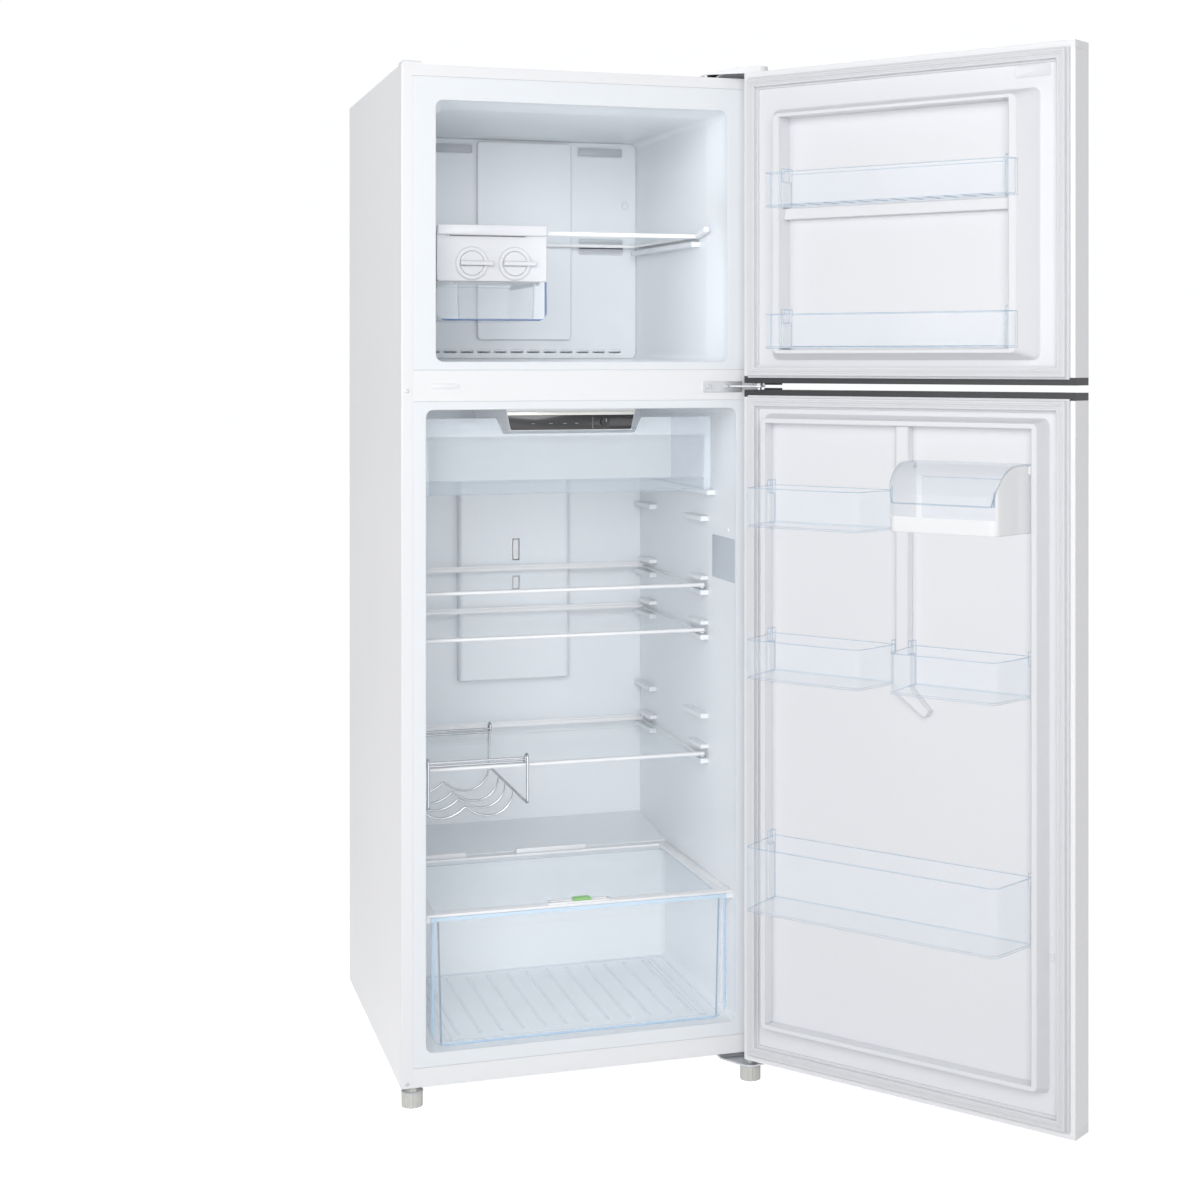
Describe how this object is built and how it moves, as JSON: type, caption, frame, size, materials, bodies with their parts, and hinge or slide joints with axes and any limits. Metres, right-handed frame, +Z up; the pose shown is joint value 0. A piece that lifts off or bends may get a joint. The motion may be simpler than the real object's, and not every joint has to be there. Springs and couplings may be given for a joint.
{
  "type": "top mount refrigerator",
  "caption": "Free-standing refrigerator with the freezer on top, both doors hinged on the right, with shelves, drawers, door bins, an ice maker and a wire bottle rack.",
  "frame": {"origin": "centre of the underside of the front left levelling foot", "axes": "+X to the right across the cabinet's front, +Y to the back, +Z up; doors modelled open as pictured"},
  "size_m": [0.9498, 1.14, 1.675],
  "materials": {
    "painted_steel": "smooth sprayed enamel, light grey white",
    "inner_plastic": "vacuum-formed sheet with a soft gloss",
    "zinc_sheet": "galvanised sheet",
    "foam": "foamed in place, hidden",
    "seal_rubber": "soft matt grey",
    "cap_plastic": "black, fine grain",
    "white_plastic": "moulded, satin",
    "foot_plastic": "moulded nylon",
    "roller_plastic": "hard black nylon",
    "clear_plastic": "clear moulded styrene with bluish edges",
    "shelf_glass": "toughened float glass in white rails",
    "tray_plastic": "flexible white polypropylene",
    "slider_plastic": "green, smooth",
    "rack_chrome": "bright plated wire",
    "compressor_paint": "black enamel",
    "pan_plastic": "black polypropylene",
    "copper_pipe": "drawn copper",
    "coil_aluminium": "bare rolled fins"
  },
  "bodies": {
    "cabinet": {"cabinet_shell": "painted_steel", "freezer_liner": "inner_plastic", "fridge_liner": "inner_plastic", "back_panel": "zinc_sheet", "base_frame": "zinc_sheet", "lower_front_rail": "zinc_sheet", "compressor_cover": "zinc_sheet", "top_hinge": "zinc_sheet", "middle_hinge": "zinc_sheet", "bottom_hinge": "zinc_sheet", "foam_insulation": "foam", "mullion_cover": "white_plastic", "top_hinge_cover": "white_plastic", "top_left_cap": "white_plastic", "evaporator_cover": "white_plastic", "fridge_air_duct": "white_plastic", "control_box": "white_plastic", "front_feet": "foot_plastic", "crisper_cover": "shelf_glass", "compressor": "compressor_paint", "fan_motor": "compressor_paint", "drain_pan": "pan_plastic", "refrigerant_pipes": "copper_pipe", "evaporator": "coil_aluminium"},
    "freezer_door": {"freezer_door_skin": "painted_steel", "freezer_door_liner": "inner_plastic", "freezer_door_foam": "foam", "freezer_door_gasket": "seal_rubber", "freezer_door_top_cap": "cap_plastic", "freezer_door_bottom_cap": "cap_plastic"},
    "fridge_door": {"fridge_door_skin": "painted_steel", "fridge_door_liner": "inner_plastic", "fridge_door_foam": "foam", "fridge_door_gasket": "seal_rubber", "fridge_door_top_cap": "cap_plastic", "fridge_door_bottom_cap": "cap_plastic"},
    "freezer_shelf_unit": {"freezer_shelf": "white_plastic", "ice_maker_housing": "white_plastic"},
    "freezer_bin_upper_body": {"freezer_bin_upper": "clear_plastic"},
    "freezer_bin_lower_body": {"freezer_bin_lower": "clear_plastic"},
    "left_bin_upper_body": {"left_bin_upper": "clear_plastic"},
    "left_bin_lower_body": {"left_bin_lower": "clear_plastic"},
    "right_bin_body": {"right_bin": "clear_plastic"},
    "bottle_bin_body": {"bottle_bin": "clear_plastic"},
    "dairy_box_body": {"dairy_box": "clear_plastic"},
    "dairy_lid_body": {"dairy_lid": "clear_plastic"},
    "ice_tray_left_body": {"ice_tray_left": "tray_plastic"},
    "ice_tray_right_body": {"ice_tray_right": "tray_plastic"},
    "ice_bin_body": {"ice_bin": "white_plastic"},
    "fridge_shelf_upper_body": {"fridge_shelf_upper": "shelf_glass"},
    "fridge_shelf_middle_body": {"fridge_shelf_middle": "shelf_glass"},
    "fridge_shelf_lower_body": {"fridge_shelf_lower": "shelf_glass"},
    "wine_rack_body": {"wine_rack": "rack_chrome"},
    "chiller_drawer_body": {"chiller_drawer": "clear_plastic"},
    "crisper_drawer_body": {"crisper_drawer": "clear_plastic"},
    "humidity_slider_body": {"humidity_slider": "slider_plastic"},
    "control_knob_body": {"control_knob": "white_plastic"},
    "evaporator_fan_body": {"evaporator_fan": "white_plastic"},
    "rear_rollers_body": {"rear_rollers": "roller_plastic"}
  },
  "joints": [
    {"name": "freezer_door_hinge", "type": "hinge", "parent": "cabinet", "child": "freezer_door", "pos_m": [0.568, -0.053, 1.40755], "axis": [0, 0, 1], "range_deg": [-126, 9]},
    {"name": "fridge_door_hinge", "type": "hinge", "parent": "cabinet", "child": "fridge_door", "pos_m": [0.568, -0.053, 0.58805], "axis": [0, 0, 1], "range_deg": [-126, 9]},
    {"name": "freezer_bin_upper_lift", "type": "slide", "parent": "freezer_door", "child": "freezer_bin_upper_body", "axis": [0, 0, 1], "range_m": [0, 0.018]},
    {"name": "freezer_bin_lower_lift", "type": "slide", "parent": "freezer_door", "child": "freezer_bin_lower_body", "axis": [0, 0, 1], "range_m": [0, 0.018]},
    {"name": "left_bin_upper_lift", "type": "slide", "parent": "fridge_door", "child": "left_bin_upper_body", "axis": [0, 0, 1], "range_m": [0, 0.018]},
    {"name": "left_bin_lower_lift", "type": "slide", "parent": "fridge_door", "child": "left_bin_lower_body", "axis": [0, 0, 1], "range_m": [0, 0.018]},
    {"name": "right_bin_lift", "type": "slide", "parent": "fridge_door", "child": "right_bin_body", "axis": [0, 0, 1], "range_m": [0, 0.018]},
    {"name": "bottle_bin_lift", "type": "slide", "parent": "fridge_door", "child": "bottle_bin_body", "axis": [0, 0, 1], "range_m": [0, 0.018]},
    {"name": "dairy_box_lift", "type": "slide", "parent": "fridge_door", "child": "dairy_box_body", "axis": [0, 0, 1], "range_m": [0, 0.018]},
    {"name": "dairy_lid_hinge", "type": "hinge", "parent": "dairy_box_body", "child": "dairy_lid_body", "pos_m": [0.78199, -0.41729, 1.026], "axis": [-0.5878, 0.809, 0], "range_deg": [0, 55]},
    {"name": "freezer_shelf_slide", "type": "slide", "parent": "cabinet", "child": "freezer_shelf_unit", "axis": [0, -1, 0], "range_m": [0, 0.2]},
    {"name": "ice_tray_left_knob", "type": "hinge", "parent": "freezer_shelf_unit", "child": "ice_tray_left_body", "pos_m": [0.11, 0.182, 1.349], "axis": [0, 1, 0], "range_deg": [0, 140], "stiffness_Nm_per_rad": 0.3},
    {"name": "ice_tray_right_knob", "type": "hinge", "parent": "freezer_shelf_unit", "child": "ice_tray_right_body", "pos_m": [0.182, 0.182, 1.349], "axis": [0, 1, 0], "range_deg": [0, 140], "stiffness_Nm_per_rad": 0.3},
    {"name": "ice_bin_slide", "type": "slide", "parent": "freezer_shelf_unit", "child": "ice_bin_body", "axis": [0, -1, 0], "range_m": [0, 0.12]},
    {"name": "fridge_shelf_upper_slide", "type": "slide", "parent": "cabinet", "child": "fridge_shelf_upper_body", "axis": [0, -1, 0], "range_m": [0, 0.25]},
    {"name": "fridge_shelf_middle_slide", "type": "slide", "parent": "cabinet", "child": "fridge_shelf_middle_body", "axis": [0, -1, 0], "range_m": [0, 0.25]},
    {"name": "fridge_shelf_lower_slide", "type": "slide", "parent": "cabinet", "child": "fridge_shelf_lower_body", "axis": [0, -1, 0], "range_m": [0, 0.25]},
    {"name": "wine_rack_slide", "type": "slide", "parent": "fridge_shelf_lower_body", "child": "wine_rack_body", "axis": [1, 0, 0], "range_m": [0, 0.19]},
    {"name": "chiller_drawer_slide", "type": "slide", "parent": "cabinet", "child": "chiller_drawer_body", "axis": [0, -1, 0], "range_m": [0, 0.22]},
    {"name": "crisper_drawer_slide", "type": "slide", "parent": "cabinet", "child": "crisper_drawer_body", "axis": [0, -1, 0], "range_m": [0, 0.33]},
    {"name": "humidity_slider_slide", "type": "slide", "parent": "cabinet", "child": "humidity_slider_body", "axis": [1, 0, 0], "range_m": [-0.035, 0.024]},
    {"name": "control_knob_turn", "type": "hinge", "parent": "cabinet", "child": "control_knob_body", "pos_m": [0.338, 0.078, 1.086], "axis": [0, 1, 0], "range_deg": [-130, 130]},
    {"name": "evaporator_fan_spin", "type": "hinge", "parent": "cabinet", "child": "evaporator_fan_body", "pos_m": [0.28, 0.472, 1.512], "axis": [0, 1, 0], "continuous": true},
    {"name": "rear_rollers_roll", "type": "hinge", "parent": "cabinet", "child": "rear_rollers_body", "pos_m": [0.28, 0.545, 0.016], "axis": [1, 0, 0], "continuous": true}
  ]
}
